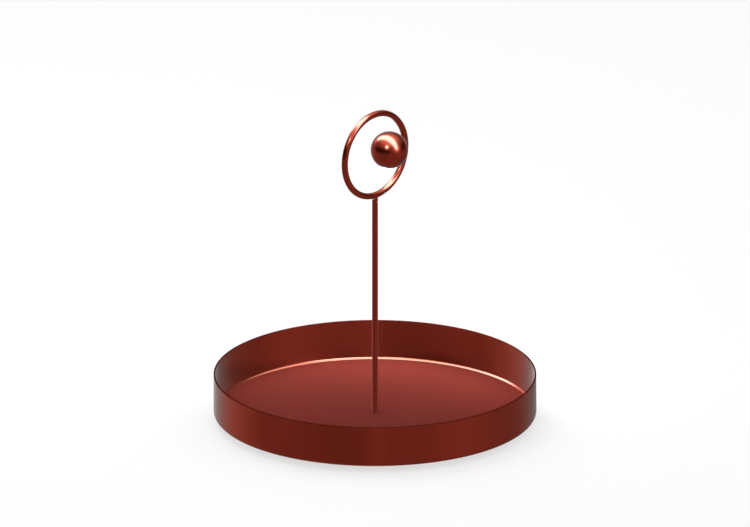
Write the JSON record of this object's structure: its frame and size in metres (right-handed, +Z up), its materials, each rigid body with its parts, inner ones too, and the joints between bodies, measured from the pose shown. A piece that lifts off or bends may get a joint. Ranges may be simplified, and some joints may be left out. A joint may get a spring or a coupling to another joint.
{
  "type": "round metal tray with ring handle",
  "caption": "Shallow round metal tray with an upright wall, a slim centre stem and a grip ring that holds a ball, on rubber feet.",
  "frame": {"origin": "middle of the plane that the feet stand on, straight below the stem", "axes": "+Z up along the stem; the ring stands in the XZ plane and +X points to the side of the ring that holds the ball"},
  "size_m": [0.3, 0.3, 0.3029],
  "materials": {
    "copper_red_lacquer": "glossy copper-red metallic lacquer",
    "zinc_plated_steel": "bright zinc plate",
    "dark_rubber": "matt moulded rubber"
  },
  "bodies": {
    "root": {"tray_pan": "copper_red_lacquer", "stem": "copper_red_lacquer", "ring": "copper_red_lacquer", "ball": "copper_red_lacquer", "ring_stud": "zinc_plated_steel", "ball_stud": "zinc_plated_steel", "stem_screw": "zinc_plated_steel", "load_washer": "zinc_plated_steel", "lock_washer": "zinc_plated_steel", "foot_1": "dark_rubber", "foot_2": "dark_rubber", "foot_3": "dark_rubber", "foot_4": "dark_rubber"}
  },
  "joints": []
}
